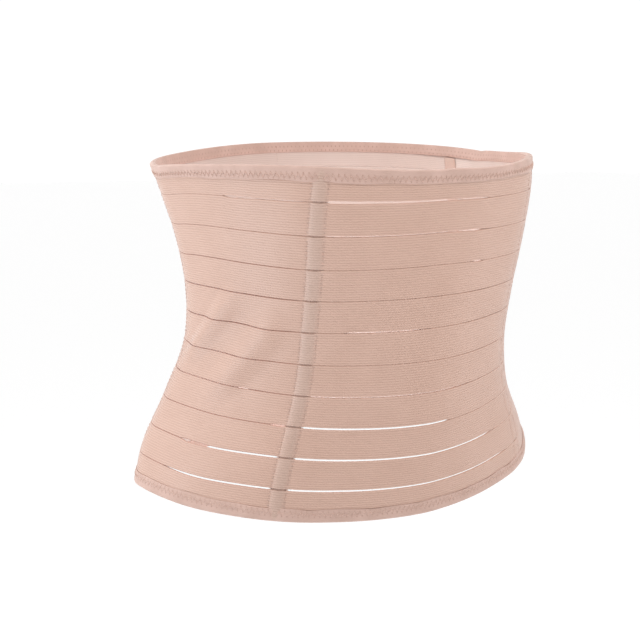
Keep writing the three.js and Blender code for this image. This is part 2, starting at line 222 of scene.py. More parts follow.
# Where round the band each of those widths takes over from the one in front, to its left (1) or right (-1)
slit_places = [
    dict(column="left", from_share=0.02, over=0.04, way=1),
    dict(column="beside", from_share=-0.115, over=0.02, way=-1),
    dict(column="flank", from_share=-0.155, over=0.03, way=-1),
]
slit_behind, behind_from, behind_over = 0.03, 0.3, 0.05  # the strips lie closer at the back
slit_over_bone, tape_shows = 0.55, 4.1  # the width held over a casing, this far from the bone's middle
seam_pinch, pinch_at, pinch_reach = 0.9, 4.9, 0.7  # the sewn rows nearly close a slit
# The parts that the stretch has pulled open, with how gently each begins and ends
open_slits = [
    dict(slit=1, start=-0.190, stop=-0.170, first_width=1.50, last_width=1.50, begins=0.006, ends=0.006),
    dict(slit=1, start=-0.104, stop=0.030, first_width=1.35, last_width=0.72, begins=0.004, ends=0.012),
    dict(slit=2, start=0.018, stop=0.032, first_width=0.70, last_width=1.10, begins=0.020, ends=0.003),
    dict(slit=3, start=-0.050, stop=-0.020, first_width=0.10, last_width=0.08, begins=0.010, ends=0.010),
    dict(slit=3, start=0.036, stop=0.042, first_width=0.80, last_width=0.80, begins=0.004, ends=0.004),
    dict(slit=5, start=-0.086, stop=-0.033, first_width=0.43, last_width=0.41, begins=0.010, ends=0.030),
    dict(slit=7, start=-0.189, stop=-0.184, first_width=0.54, last_width=0.54, begins=0.004, ends=0.004),
    dict(slit=7, start=-0.050, stop=-0.038, first_width=0.45, last_width=0.45, begins=0.005, ends=0.005),
    dict(slit=8, start=-0.149, stop=-0.139, first_width=1.00, last_width=1.00, begins=0.003, ends=0.003),
    dict(slit=8, start=-0.132, stop=0.010, first_width=1.02, last_width=0.95, begins=0.003, ends=0.010),
    dict(slit=9, start=-0.226, stop=-0.200, first_width=1.70, last_width=0.85, begins=0.010, ends=0.010),
    dict(slit=9, start=-0.200, stop=-0.135, first_width=1.05, last_width=0.95, begins=0.010, ends=0.003),
    dict(slit=9, start=-0.130, stop=0.068, first_width=1.02, last_width=0.90, begins=0.003, ends=0.020),
    dict(slit=10, start=-0.212, stop=-0.135, first_width=1.00, last_width=0.95, begins=0.035, ends=0.003),
    dict(slit=10, start=-0.130, stop=0.092, first_width=1.00, last_width=0.80, begins=0.003, ends=0.020),
]
flank_share, flank_reach = -0.215, 0.045  # the middle of the right flank, and how far the sink spreads


def right_flank(share):
    """How much of its sink a level line shows at a place round the band."""
    return np.exp(-(((share - flank_share) / flank_reach) ** 2))


def slit_drop(slit, share):
    return slits[slit - 1]["drop"] + slits[slit - 1]["sink"] * right_flank(share)


def slit_width(slit, share):
    """How far a slit's two edges part at each place round the band."""
    row = slits[slit - 1]
    width = np.full(np.shape(share), row["front"])
    for place in slit_places:
        reached = smooth((share - place["from_share"]) * place["way"] / place["over"])
        width = width + (row[place["column"]] - width) * reached
    width = width + (slit_behind - width) * smooth((np.abs(share) - behind_from) / behind_over)
    for part in open_slits:
        if part["slit"] == slit:
            rise = smooth((share - part["start"]) / part["begins"] + 1)
            fall = smooth((part["stop"] - share) / part["ends"] + 1)
            along = np.clip((share - part["start"]) / (part["stop"] - part["start"]), 0, 1)
            opened = part["first_width"] + (part["last_width"] - part["first_width"]) * along
            width = width + np.maximum(opened - width, 0) * np.minimum(rise, fall)
    away = from_bone(share, row["drop"])
    width = width * (1 - seam_pinch * np.exp(-(((away - pinch_at) / pinch_reach) ** 2)))
    return width + (slit_over_bone - width) * smooth((tape_shows - away) / pinch_reach)


# How closely the cloth is divided round the girth, in millimetres, and closer still over the bones
column_rows = [
    dict(start=-strip_end_share, stop=-0.33, step=2.2),
    dict(start=-0.33, stop=0.2, step=1.0),
    dict(start=0.2, stop=strip_end_share, step=2.2),
]
close_reach = 9.0  # each side of a bone's middle
end_column = 0.0002  # a last narrow column keeps the shading of a cut end to that end


def columns_round(drop, coarse, fine):
    """Girth shares from one strip end to the other, at coarse times the steps, and fine over the bones."""
    reach = close_reach / waist_girth
    middles = [side * float(bone_share(place, drop)) for side in (-1, 1) for place in bones]
    even = [np.array([-1, 1]) * (strip_end_share - end_column)]
    for row in column_rows:
        count = int((row["stop"] - row["start"]) * waist_girth / (row["step"] * coarse)) + 1
        even.append(np.linspace(row["start"], row["stop"], count))
    even = np.unique(np.concatenate(even))
    clear = np.min(np.abs(even[:, None] - np.array(middles)), axis=1) > reach
    close = [np.linspace(m - reach, m + reach, int(2 * close_reach / fine)) for m in middles]
    return np.sort(np.concatenate([even[clear], *close]))


def loft(name, rings, along, across):
    """A closed band: rings of points in order, walls between them and a face at each end."""
    count, points = rings.shape[:2]
    at = np.arange(count * points).reshape(count, points)
    after = np.roll(at, -1, axis=1)
    walls = np.stack([at[:-1], at[1:], after[1:], after[:-1]], -1).reshape(-1, 4)
    faces = [*walls.tolist(), at[0].tolist(), at[-1][::-1].tolist()]
    mesh = bpy.data.meshes.new(name)
    mesh.from_pydata(rings.reshape(-1, 3).tolist(), [], faces)
    layer = mesh.uv_layers.new(name="cloth")
    corners = np.zeros(len(mesh.loops), np.int32)
    mesh.loops.foreach_get("vertex_index", corners)
    flat = np.stack([np.broadcast_to(way, (count, points)) for way in (along, across)], -1)
    layer.uv.foreach_set("vector", flat.reshape(-1, 2)[corners].astype(np.float32).ravel())
    mesh.polygons.foreach_set("use_smooth", np.arange(len(mesh.polygons)) < len(walls))
    mesh.update()
    piece = bpy.data.objects.new(name, mesh)
    bpy.context.scene.collection.objects.link(piece)
    return piece


def linear(hex_colour):
    """A linear colour from an sRGB hex value."""
    parts = [int(hex_colour[i : i + 2], 16) / 255 for i in (1, 3, 5)]
    return (*[p / 12.92 if p <= 0.04045 else ((p + 0.055) / 1.055) ** 2.4 for p in parts], 1.0)


def add(tree, kind, inputs, **settings):
    """Adds a node with its settings, and sets or links its inputs."""
    made = tree.nodes.new(kind)
    for key, value in settings.items():
        setattr(made, key, value)
    for key, value in inputs.items():
        if isinstance(value, bpy.types.NodeSocket):
            tree.links.new(value, made.inputs[key])
        else:
            made.inputs[key].default_value = value
    return made


# Ribbed elastic, knitted and matt: soft lines along the strip with a little shade between them, a faint
# crossing of the knit, and a low sheen from the nylon's fibres.
rib_count = 13
rib_width = strip_pitch / rib_count * mm
knit_width = 1.7 * mm  # the real stitches are about 0.8 mm, and are drawn twice as coarse to show
ribbed_elastic = bpy.data.materials.new("knitted ribbed elastic")
ribbed_elastic.use_nodes = True
tree = ribbed_elastic.node_tree
shader = tree.nodes["Principled BSDF"]
shader.inputs["Roughness"].default_value = 0.5
shader.inputs["Specular IOR Level"].default_value = 0.85
shader.inputs["Sheen Weight"].default_value = 0.8
shader.inputs["Sheen Roughness"].default_value = 0.25
shader.inputs["Sheen Tint"].default_value = linear("#f8f2f1")
places = add(tree, "ShaderNodeUVMap", {}, uv_map="cloth")
turns = (2 * np.pi / knit_width, 2 * np.pi / rib_width, 0)
scaled = add(tree, "ShaderNodeVectorMath", {0: places.outputs["UV"], 1: turns}, operation="MULTIPLY")
waves = add(tree, "ShaderNodeVectorMath", {0: scaled.outputs[0]}, operation="COSINE")
split = add(tree, "ShaderNodeSeparateXYZ", {0: waves.outputs[0]})
crossing = add(tree, "ShaderNodeMath", {0: split.outputs["X"], 1: split.outputs["Y"]}, operation="MULTIPLY")
spot = add(tree, "ShaderNodeTexCoord", {})
mottle = add(tree, "ShaderNodeTexNoise", {"Vector": spot.outputs["Object"], "Scale": 60.0, "Detail": 3.0})
# painted shade: the rib valleys take the darker of the two tones
valley = add(tree, "ShaderNodeMapRange", {0: split.outputs["Y"], 1: -0.2, 2: 1.0, 3: 0.0, 4: 0.6})
shares_of_tint = {0: mottle.outputs["Fac"], 1: 0.5, 2: valley.outputs[0]}
tinted = add(tree, "ShaderNodeMath", shares_of_tint, operation="MULTIPLY_ADD")
tones = add(tree, "ShaderNodeValToRGB", {"Fac": tinted.outputs[0]})
tones.color_ramp.elements[0].position = 0.1
tones.color_ramp.elements[0].color = linear("#d2ae9d")
tones.color_ramp.elements[1].position = 0.95
tones.color_ramp.elements[1].color = linear("#c49e8c")
# Each point of a strip says how much of three tints of painted shade it takes: greyer and a little darker
# over the right front bone, redder along the strips' edges on the right flank to deepen the slit lines, and
# darker in the needle holes of that bone's two sewn rows.
tints = [
    dict(layer="painted_shade_over_bone", colour="#f6fcff", blend="MULTIPLY"),
    dict(layer="painted_slit_shade", colour="#a8705f", blend="MIX"),
    dict(layer="painted_needle_hole_shade", colour="#94796f", blend="MIX"),
]
colour = tones.outputs["Color"]
for row in tints:
    amount = add(tree, "ShaderNodeAttribute", {}, attribute_name=row["layer"])
    sockets = {"Factor": amount.outputs["Fac"], 6: colour, 7: linear(row["colour"])}
    colour = add(tree, "ShaderNodeMix", sockets, data_type="RGBA", blend_type=row["blend"]).outputs[2]
tree.links.new(colour, shader.inputs["Base Color"])
bump = add(tree, "ShaderNodeBump", {"Height": crossing.outputs[0], "Strength": 0.25, "Distance": 0.1 * mm})
tree.links.new(bump.outputs["Normal"], shader.inputs["Normal"])
# The same elastic's inner face in a lighter, greyer tone: painted light, so that the inside of the band looks
# more brightly lit.
lighter_inner_elastic = ribbed_elastic.copy()
lighter_inner_elastic.name = "knitted ribbed elastic, inner face painted lighter"
inner_tones = lighter_inner_elastic.node_tree.nodes[tones.name].color_ramp.elements
inner_tones[0].color = linear("#d9c3b9")
inner_tones[1].color = linear("#cdb5aa")

rib_steps = np.array([0.0, 0.2, 0.5, 0.8])  # across one rib, as parts of its width
rib_rise = np.array([0.0, 0.8, 1.0, 0.8])
rib_height = 0.2
inner_rib_height = 0.12
edge_round = 0.6
pressed_round, parted_gap = 0.12, 0.5  # edges that lie close are pressed flush, and round off as they part
inner_round = 0.3  # the inner edges' rounding, as a part of the outer ones'
binding_thickness = 0.7
binding_gap = 0.1
rim_inset = binding_thickness + binding_gap
bottom_rim_sink = 1.0


def bottom_rim(share):
    return bottom_rim_drop + bottom_rim_sink * right_flank(share)


outer_v = np.append(((np.arange(rib_count)[:, None] + rib_steps) / rib_count).ravel(), 1.0)
inner_v = np.linspace(1, 0, 2 * rib_count + 1)
v = np.concatenate([outer_v, inner_v])  # down the outer face and up the inner one, as parts of the width
is_outer = np.arange(len(v)) < len(outer_v)
outer_rise = np.append(np.tile(rib_rise, rib_count), 0.0) * rib_height
inner_rise = np.tile([inner_rib_height, 0.0], rib_count + 1)[: len(inner_v)]
ribbed_face = np.concatenate([strip_thickness - rib_height + outer_rise, inner_rise])
from_strip_edge = np.minimum(v, 1 - v) * strip_pitch
grey_reach, grey_fade = 6.0, 4.0  # from the bone's middle
mark_strength, mark_reach = 0.45, 0.7
slit_shade_strength, slit_shade_reach = 0.55, 0.35
slit_shade_from, slit_shade_to, slit_shade_top = -0.12, -0.42, -90.0  # the right flank, where painted shade deepens the slit lines

for n in range(1, strip_count + 1):
    shares = columns_round(top_rim_drop + (n - 0.5) * strip_pitch, 2.2, 0.6)[:, None]
    upper, upper_gap = top_rim_drop + rim_inset, edge_round
    lower, lower_gap = bottom_rim(shares) - rim_inset, edge_round
    if n > 1:
        upper_gap = slit_width(n - 1, shares)
        upper = slit_drop(n - 1, shares) + upper_gap / 2
    if n < strip_count:
        lower_gap = slit_width(n, shares)
        lower = slit_drop(n, shares) - lower_gap / 2
    drop = upper + v * (lower - upper)
    rounding = np.zeros(drop.shape)
    for gap, from_edge in ((upper_gap, v), (lower_gap, 1 - v)):
        radius = pressed_round + edge_round * smooth(gap / parted_gap)
        edge = np.clip(from_edge * strip_pitch / radius, 0, 1)
        rounding = rounding + radius * (1 - np.sqrt(1 - (1 - edge) ** 2))
    face = ribbed_face - np.where(is_outer, rounding, -inner_round * rounding)
    rings = cloth(shares, drop, strip_lift + relief(shares, drop) + face)
    name = f"strip_{n:02d}"
    strip = loft(f"elastic_{name}", rings, shares * waist_girth * mm, v * rib_count * rib_width)
    strip.data.materials.append(ribbed_elastic)
    strip.data.materials.append(lighter_inner_elastic)
    walls_inside = np.tile(~is_outer, len(shares) - 1)
    cut_ends = [False, False]
    strip.data.polygons.foreach_set("material_index", np.append(walls_inside, cut_ends).astype(np.int32))
    away = from_bone(shares, drop)
    right_bone = (shares < 0) & (shares > -bones_part)  # only this bone, with its high ridge, gets painted shade
    needle = np.clip(np.cos(2 * np.pi * drop / stitch_step), 0, 1) ** 2
    on_flank = smooth((slit_shade_from - shares) / 0.03) * smooth((shares - slit_shade_to) / 0.08)
    slit_shade_part = on_flank * smooth((drop - slit_shade_top) / 60)  # none at the top, full at the waist
    in_row = np.exp(-(((away - bone_seam) / mark_reach) ** 2))
    amounts = {
        # painted shade: greyer and a little darker over the right front bone
        "painted_shade_over_bone": right_bone * smooth((grey_reach - away) / grey_fade),
        # painted shade, redder, along the strips' cut edges on the right flank, to deepen the slit lines
        "painted_slit_shade": slit_shade_strength * slit_shade_part * np.exp(-((from_strip_edge / slit_shade_reach) ** 2)),
        # painted shade in the needle holes of the right front bone's sewn rows
        "painted_needle_hole_shade": right_bone * mark_strength * needle * in_row,
    }
    for layer, amount in amounts.items():
        points = strip.data.attributes.new(layer, "FLOAT", "POINT")
        points.data.foreach_set("value", amount.astype(np.float32).ravel())
    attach(strip, "root")
    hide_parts(name)

# Bone casings
# Four upright tapes of woven cotton behind the strips, each sewn down along both edges to make a channel.
# A flat bone in the channel keeps the band from rolling, and rounds the tape's face.
casing_width = 9.0
casing_thickness = 1.4
casing_gap = 0.15  # between the tape and the strips that it is sewn to
casing_ends = 0.8  # clear of each binding's free edge
tape_puff, puff_reach = 1.38, 0.4  # the bone pushes the tape out between two strips
# Woven cotton tape, matt and close: a plain weave that shows only as a fine grain.
thread_spacing = 1.2 * mm  # the real threads are about 0.5 mm apart, and are drawn coarser to show
woven_tape = bpy.data.materials.new("woven cotton tape")
woven_tape.use_nodes = True
tree = woven_tape.node_tree
shader = tree.nodes["Principled BSDF"]
shader.inputs["Roughness"].default_value = 0.85
shader.inputs["Specular IOR Level"].default_value = 0.2
places = add(tree, "ShaderNodeUVMap", {}, uv_map="cloth")
turns = (2 * np.pi / thread_spacing, 2 * np.pi / thread_spacing, 0)
scaled = add(tree, "ShaderNodeVectorMath", {0: places.outputs["UV"], 1: turns}, operation="MULTIPLY")
waves = add(tree, "ShaderNodeVectorMath", {0: scaled.outputs[0]}, operation="SINE")
split = add(tree, "ShaderNodeSeparateXYZ", {0: waves.outputs[0]})
weave = add(tree, "ShaderNodeMath", {0: split.outputs["X"], 1: split.outputs["Y"]}, operation="MULTIPLY")
grain = add(tree, "ShaderNodeMapRange", {0: weave.outputs[0], 1: -1.0, 2: 1.0})
tones = add(tree, "ShaderNodeValToRGB", {"Fac": grain.outputs[0]})
tones.color_ramp.elements[0].color = linear("#c9aa9d")
tones.color_ramp.elements[1].color = linear("#d8bbae")
tree.links.new(tones.outputs["Color"], shader.inputs["Base Color"])
bump = add(tree, "ShaderNodeBump", {"Height": weave.outputs[0], "Strength": 0.4, "Distance": 0.15 * mm})
tree.links.new(bump.outputs["Normal"], shader.inputs["Normal"])

binding_width = 8.4
casing_top = top_rim_drop + binding_width + casing_ends
casing_bottom = bottom_rim_drop - binding_width - casing_ends
close_rows = [row["drop"] + np.linspace(-0.9, 0.9, 7) for row in slits]
drop = np.sort(np.concatenate([np.linspace(casing_top, casing_bottom, 70), *close_rows]))[:, None]
puffed = tape_puff * sum(np.exp(-(((drop - row["drop"]) / puff_reach) ** 2)) for row in slits)
turn = np.linspace(0, 2 * np.pi, 29)[:-1]
flat_oval = np.sign(np.cos(turn)) * np.abs(np.cos(turn)) ** 0.45
aside = flat_oval * casing_width / 2
depth = np.sign(np.sin(turn)) * np.abs(np.sin(turn)) ** 0.6
thick = casing_thickness * (1 - 0.75 * flat_oval**4)  # pressed thin along both sewn edges
for place in bones:
    for side, sign in (("right", -1), ("left", 1)):
        share = sign * bone_share(place, drop) + aside / girth_at(drop)
        lift = strip_lift - casing_gap + puffed + relief(share, drop) - thick / 2 * (1 - depth)
        casing = loft(f"tape_casing_{place}_{side}", cloth(share, drop, lift), drop * mm, aside * mm)
        casing.data.materials.append(woven_tape)
        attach(casing, "root")
        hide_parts(f"bone_casing_{place}_{side}")

# Bindings
# Fold-over elastic that wraps the top and bottom edges, half outside and half inside. It is sewn through all
# the layers with one zigzag line, which leaves a plain rounded fold at the rim and a narrow plain edge.
zigzag_step = 3.3
zigzag_near = 4.0  # from the rim to the zigzag's two sides
zigzag_far = 7.0
rim_round = 0.9
# Fold-over elastic, smoother than the strips: a close satin knit with a soft sheen. Its needle holes are
# darkened with painted shade, and dented.
loop_width, loop_height = 0.9 * mm, 1.1 * mm  # about twice the real loops, which are too fine to show
needle_hole, hole_fade = 0.2 * mm, 0.55 * mm
fold_elastic = bpy.data.materials.new("fold-over elastic, satin knit")
fold_elastic.use_nodes = True
tree = fold_elastic.node_tree
shader = tree.nodes["Principled BSDF"]
shader.inputs["Roughness"].default_value = 0.6
shader.inputs["Specular IOR Level"].default_value = 0.35
shader.inputs["Sheen Weight"].default_value = 0.6
shader.inputs["Sheen Roughness"].default_value = 0.3
shader.inputs["Sheen Tint"].default_value = linear("#fff0e8")
places = add(tree, "ShaderNodeUVMap", {}, uv_map="cloth")
turns = (2 * np.pi / loop_width, 2 * np.pi / loop_height, 0)
scaled = add(tree, "ShaderNodeVectorMath", {0: places.outputs["UV"], 1: turns}, operation="MULTIPLY")
waves = add(tree, "ShaderNodeVectorMath", {0: scaled.outputs[0]}, operation="SINE")
split = add(tree, "ShaderNodeSeparateXYZ", {0: waves.outputs[0]})
knit = add(tree, "ShaderNodeMath", {0: split.outputs["X"], 1: split.outputs["Y"]}, operation="MULTIPLY")
spot = add(tree, "ShaderNodeTexCoord", {})
mottle = add(tree, "ShaderNodeTexNoise", {"Vector": spot.outputs["Object"], "Scale": 90.0, "Detail": 3.0})
knit_on_mottle = {0: knit.outputs[0], 1: 0.12, 2: mottle.outputs["Fac"]}
speckle = add(tree, "ShaderNodeMath", knit_on_mottle, operation="MULTIPLY_ADD")
tones = add(tree, "ShaderNodeValToRGB", {"Fac": speckle.outputs[0]})
tones.color_ramp.elements[0].position = 0.3
tones.color_ramp.elements[0].color = linear("#c6a699")
tones.color_ramp.elements[1].position = 0.75
tones.color_ramp.elements[1].color = linear("#d4b4a8")
flat = add(tree, "ShaderNodeSeparateXYZ", {0: places.outputs["UV"]})
rows_of_holes = []
half_step = zigzag_step * mm / 2
for depth, shift in ((zigzag_near, 0.0), (zigzag_far, half_step)):
    shifted = add(tree, "ShaderNodeMath", {0: flat.outputs["X"], 1: shift}, operation="ADD")
    from_hole = {0: shifted.outputs[0], 1: -half_step, 2: half_step}
    along = add(tree, "ShaderNodeMath", from_hole, operation="WRAP")
    across = add(tree, "ShaderNodeMath", {0: flat.outputs["Y"], 1: depth * mm}, operation="SUBTRACT")
    slim = add(tree, "ShaderNodeMath", {0: across.outputs[0], 1: 0.55}, operation="MULTIPLY")
    spread = add(tree, "ShaderNodeCombineXYZ", {0: along.outputs[0], 1: slim.outputs[0]})
    reach = add(tree, "ShaderNodeVectorMath", {0: spread.outputs[0]}, operation="LENGTH")
    fade = {0: reach.outputs["Value"], 1: needle_hole, 2: hole_fade, 3: 1.0, 4: 0.0}
    rows_of_holes.append(add(tree, "ShaderNodeMapRange", fade).outputs[0])
holes = add(tree, "ShaderNodeMath", {0: rows_of_holes[0], 1: rows_of_holes[1]}, operation="MAXIMUM")
uneven = add(tree, "ShaderNodeMapRange", {0: mottle.outputs["Fac"], 1: 0.38, 2: 0.6, 3: 0.35, 4: 0.8})
painted_hole_shade = add(tree, "ShaderNodeMath", {0: holes.outputs[0], 1: uneven.outputs[0]}, operation="MULTIPLY")
# painted shade: the needle holes take a darker tone
sockets = {"Factor": painted_hole_shade.outputs[0], 6: tones.outputs["Color"], 7: linear("#ae897a")}
hole_shaded_tones = add(tree, "ShaderNodeMix", sockets, data_type="RGBA")
tree.links.new(hole_shaded_tones.outputs[2], shader.inputs["Base Color"])
holes_in_knit = {0: holes.outputs[0], 1: -1.6, 2: knit.outputs[0]}
pulled = add(tree, "ShaderNodeMath", holes_in_knit, operation="MULTIPLY_ADD")
bump = add(tree, "ShaderNodeBump", {"Height": pulled.outputs[0], "Strength": 0.3, "Distance": 0.08 * mm})
tree.links.new(bump.outputs["Normal"], shader.inputs["Normal"])

outer_lift = strip_lift + strip_thickness + binding_gap + binding_thickness
inner_lift = strip_lift - binding_gap - binding_thickness
fold_width, fold_height = 3.4, 0.1
zigzag_sink = 0.05
edge_press = dict(top=0.14, bottom=0.4)  # how far the iron has thinned each free edge
press_slope = 3.5  # how far in that thinning reaches, for each millimetre of it
inner_press, inner_slope = 0.5, 2.0  # the same on the inside
edge_drawn, drawn_reach = 0.7, 9.0  # the free edge draws up over a bone, this far from its middle


def binding_face(depth, press):
    """The lift of the outer face: a full fold at the rim, pressed along the zigzag and thin at the edge."""
    fold = fold_height * np.sin(np.pi * np.clip(depth / fold_width, 0, 1))
    sewn = smooth((depth - 2.2) / 1.4) * smooth((binding_width - 0.2 - depth) / 1.2)
    thinned = smooth((depth - binding_width + press_slope * press) / (press_slope * press))
    return outer_lift + fold - zigzag_sink * sewn - press * thinned


def binding_edge(share):
    """How far down the free edge lies: it wanders as it was fed by hand, and draws up over the bones."""
    wander = 0.25 * np.sin(share * 61.0 + 1.3) + 0.2 * np.sin(share * 143.0)
    return binding_width + wander - edge_drawn * smooth(1 - from_bone(share, top_rim_drop) / drawn_reach)


rims = (("top", top_rim_drop, 1), ("bottom", bottom_rim_drop, -1))
around = np.linspace(0, np.pi, 13)  # over the rim, from the outside to the inside
half = (outer_lift - inner_lift) / 2
down = np.linspace(1.0, 1 / 14, 14)  # from the free edge to the rim
for rim_name, rim, inward in rims:
    share = columns_round(rim, 2.0, 1.2)[:, None]
    rim_line = bottom_rim(share) if inward < 0 else rim
    outer_depth = rim_round + (binding_edge(share) - rim_round) * down
    outer_face = binding_face(outer_depth, edge_press[rim_name])
    rim_depth = np.broadcast_to(rim_round * (1 - np.sin(around)), (len(share), len(around)))
    rim_face = np.broadcast_to(inner_lift + half + half * np.cos(around), rim_depth.shape)
    inner_depth = rim_round + (binding_width - rim_round) * down[::-1]
    inner_depth = np.broadcast_to(inner_depth, (len(share), len(down)))
    inner_face = inner_lift + inner_press * smooth((inner_depth - binding_width + inner_slope) / inner_slope)
    under_depth = np.concatenate([inner_depth[:, ::-1], outer_depth[:, ::-1]], axis=1)
    under_inner = np.full(inner_face.shape, inner_lift + binding_thickness)
    under_outer = np.full(outer_face.shape, outer_lift - binding_thickness)
    under_face = np.concatenate([under_inner, under_outer], axis=1)
    depth = np.concatenate([outer_depth, rim_depth, inner_depth, under_depth], axis=1)
    face = np.concatenate([outer_face, rim_face, inner_face, under_face], axis=1)
    if inward < 0:
        depth, face = depth[:, ::-1], face[:, ::-1]
    drop = rim_line + inward * depth
    outside = smooth((face - inner_lift) / (outer_lift - inner_lift))
    lift = face + over_bones(share, rim) * outside
    rings = cloth(share, drop, lift)
    binding = loft(f"fold_{rim_name}_binding", rings, share * girth_at(rim) * mm, depth * mm)
    binding.data.materials.append(fold_elastic)
    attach(binding, "root")
    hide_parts(f"{rim_name}_binding")

# Sewing thread
# Bonded polyester thread, a little paler than the elastic: a zigzag along each binding, and two straight rows
# along each bone. Each stitch comes up through a needle hole, lies over the cloth and goes down again.
zigzag_thread_radius = 0.15
straight_thread_radius = 0.11
thread_stands = dict(top=0.07, bottom=0.0)  # the looser zigzag stands off the cloth
hole_inset = 0.25  # from the end of a stitch's step to its needle hole
zigzag_ends = 0.004  # of the girth, short of the binding's ends
# Bonded polyester thread, twisted and slightly glossy: it catches small lights along the seams.
polyester_thread = bpy.data.materials.new("bonded polyester thread")
polyester_thread.use_nodes = True
tree = polyester_thread.node_tree
shader = tree.nodes["Principled BSDF"]
shader.inputs["Roughness"].default_value = 0.45
shader.inputs["Specular IOR Level"].default_value = 0.45
spot = add(tree, "ShaderNodeTexCoord", {})
mottle = add(tree, "ShaderNodeTexNoise", {"Vector": spot.outputs["Object"], "Scale": 900.0, "Detail": 1.0})
tones = add(tree, "ShaderNodeValToRGB", {"Fac": mottle.outputs["Fac"]})
tones.color_ramp.elements[0].position = 0.35
tones.color_ramp.elements[0].color = linear("#cdab9c")
tones.color_ramp.elements[1].position = 0.65
tones.color_ramp.elements[1].color = linear("#dfc1b3")
tree.links.new(tones.outputs["Color"], shader.inputs["Base Color"])


def sew(name, starts, ends, face_lift, thread_radius):
    """One mesh of stitches between rows of share and drop. face_lift gives the lift of the cloth's face."""
    steps = np.array([0.0, 0.12, 0.5, 0.88, 1.0])  # along a stitch
    stands = np.array([-0.35, 0.02, 0.12, 0.02, -0.35])  # off the cloth's face there
    share = starts[:, :1] + (ends[:, :1] - starts[:, :1]) * steps
    drop = starts[:, 1:] + (ends[:, 1:] - starts[:, 1:]) * steps
    lift = face_lift(share, drop) + stands
    line, over = cloth(share, drop, lift), cloth(share, drop, lift + 1.0)
    up = (over - line) / np.linalg.norm(over - line, axis=2, keepdims=True)
    forward = np.gradient(line, axis=1)
    aside = np.cross(forward, up)
    aside = aside / np.linalg.norm(aside, axis=2, keepdims=True)
    angle = np.linspace(0, 2 * np.pi, 6)[:-1]
    ring = aside[:, :, None] * np.cos(angle)[:, None] + up[:, :, None] * np.sin(angle)[:, None]
    points = line[:, :, None] + ring * thread_radius * mm
    count, across, around = points.shape[:3]
    at = np.arange(count * across * around).reshape(count, across, around)
    after = np.roll(at, -1, axis=2)
    faces = np.stack([at[:, :-1], at[:, 1:], after[:, 1:], after[:, :-1]], -1).reshape(-1, 4)
    mesh = bpy.data.meshes.new(name)
    mesh.from_pydata(points.reshape(-1, 3).tolist(), [], faces.tolist())
    mesh.polygons.foreach_set("use_smooth", np.ones(len(mesh.polygons), bool))
    mesh.update()
    thread = bpy.data.objects.new(name, mesh)
    bpy.context.scene.collection.objects.link(thread)
    thread.data.materials.append(polyester_thread)
    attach(thread, "root")


for rim_name, rim, inward in rims:
    count = int((strip_end_share - zigzag_ends) * girth_at(rim) / zigzag_step * 2)
    number = np.arange(-count, count + 1)
    depth = np.where(number % 2 == 0, zigzag_near, zigzag_far)
    share = number * zigzag_step / 2 / girth_at(rim)
    rim_line = bottom_rim(share) if inward < 0 else rim
    points = np.stack([share, rim_line + inward * depth], -1)

    def on_binding(share, drop):
        rim_line = bottom_rim(share) if inward < 0 else rim
        face = binding_face((drop - rim_line) * inward, edge_press[rim_name])
        return face + over_bones(share, rim) + thread_stands[rim_name]

    sew(f"zigzag_{rim_name}_thread", points[:-1], points[1:], on_binding, zigzag_thread_radius)


def on_strips(share, drop):
    return strip_lift + strip_thickness + relief(share, drop)


clear_of_binding, clear_of_slit = 1.0, 2.2
first = top_rim_drop + binding_width + clear_of_binding
last = bottom_rim_drop - binding_width - clear_of_binding
drops = np.arange(first, last - stitch_step, stitch_step)
to_slits = [np.abs(drops + stitch_step / 2 - row["drop"]) for row in slits]
drops = drops[np.min(to_slits, axis=0) > clear_of_slit]
seams = dict(starts=[], ends=[])
for place in bones:
    for sign in (-1, 1):
        for seam in (-bone_seam, bone_seam):
            for end, shift in (("starts", hole_inset), ("ends", stitch_step - hole_inset)):
                drop = drops + shift
                share = sign * bone_share(place, drop) + seam / girth_at(drop)
                seams[end].append(np.stack([share, drop], -1))
sew(
    "bone_seam_thread",
    np.concatenate(seams["starts"]),
    np.concatenate(seams["ends"]),
    on_strips,
    straight_thread_radius,
)

# Back closure
# One plain panel of brushed loop cloth over foam, where the strip ends meet at the centre back. Its edges are
# pressed thin and sewn down all round.
closure_width = 56.0
closure_thickness = 2.2
closure_gap = 0.6
closure_inset = 0.5  # from the rims
closure_seam = 4.0  # from the panel's edge to its sewn row
seam_dent, dent_reach = 0.25, 0.9  # part of the thickness that the row presses in, and how far round it
edge_part, full_from = 0.55, 6.0  # part of the thickness left at the edge, and where it is full
step_clear = 0.4  # over a binding
# Brushed loop cloth, soft and dull: a short nap that blurs its colour and takes the light evenly.
loop_cloth = bpy.data.materials.new("brushed loop cloth")
loop_cloth.use_nodes = True
tree = loop_cloth.node_tree
shader = tree.nodes["Principled BSDF"]
shader.inputs["Roughness"].default_value = 0.95
shader.inputs["Specular IOR Level"].default_value = 0.15
shader.inputs["Sheen Weight"].default_value = 0.35
shader.inputs["Sheen Roughness"].default_value = 0.6
shader.inputs["Sheen Tint"].default_value = linear("#ffeee4")
spot = add(tree, "ShaderNodeTexCoord", {})
nap = add(tree, "ShaderNodeTexNoise", {"Vector": spot.outputs["Object"], "Scale": 700.0, "Detail": 3.0})
tones = add(tree, "ShaderNodeValToRGB", {"Fac": nap.outputs["Fac"]})
tones.color_ramp.elements[0].position = 0.3
tones.color_ramp.elements[0].color = linear("#c2998a")
tones.color_ramp.elements[1].position = 0.7
tones.color_ramp.elements[1].color = linear("#d9b3a3")
tree.links.new(tones.outputs["Color"], shader.inputs["Base Color"])
bump = add(tree, "ShaderNodeBump", {"Height": nap.outputs["Fac"], "Strength": 0.5, "Distance": 0.3 * mm})
tree.links.new(bump.outputs["Normal"], shader.inputs["Normal"])


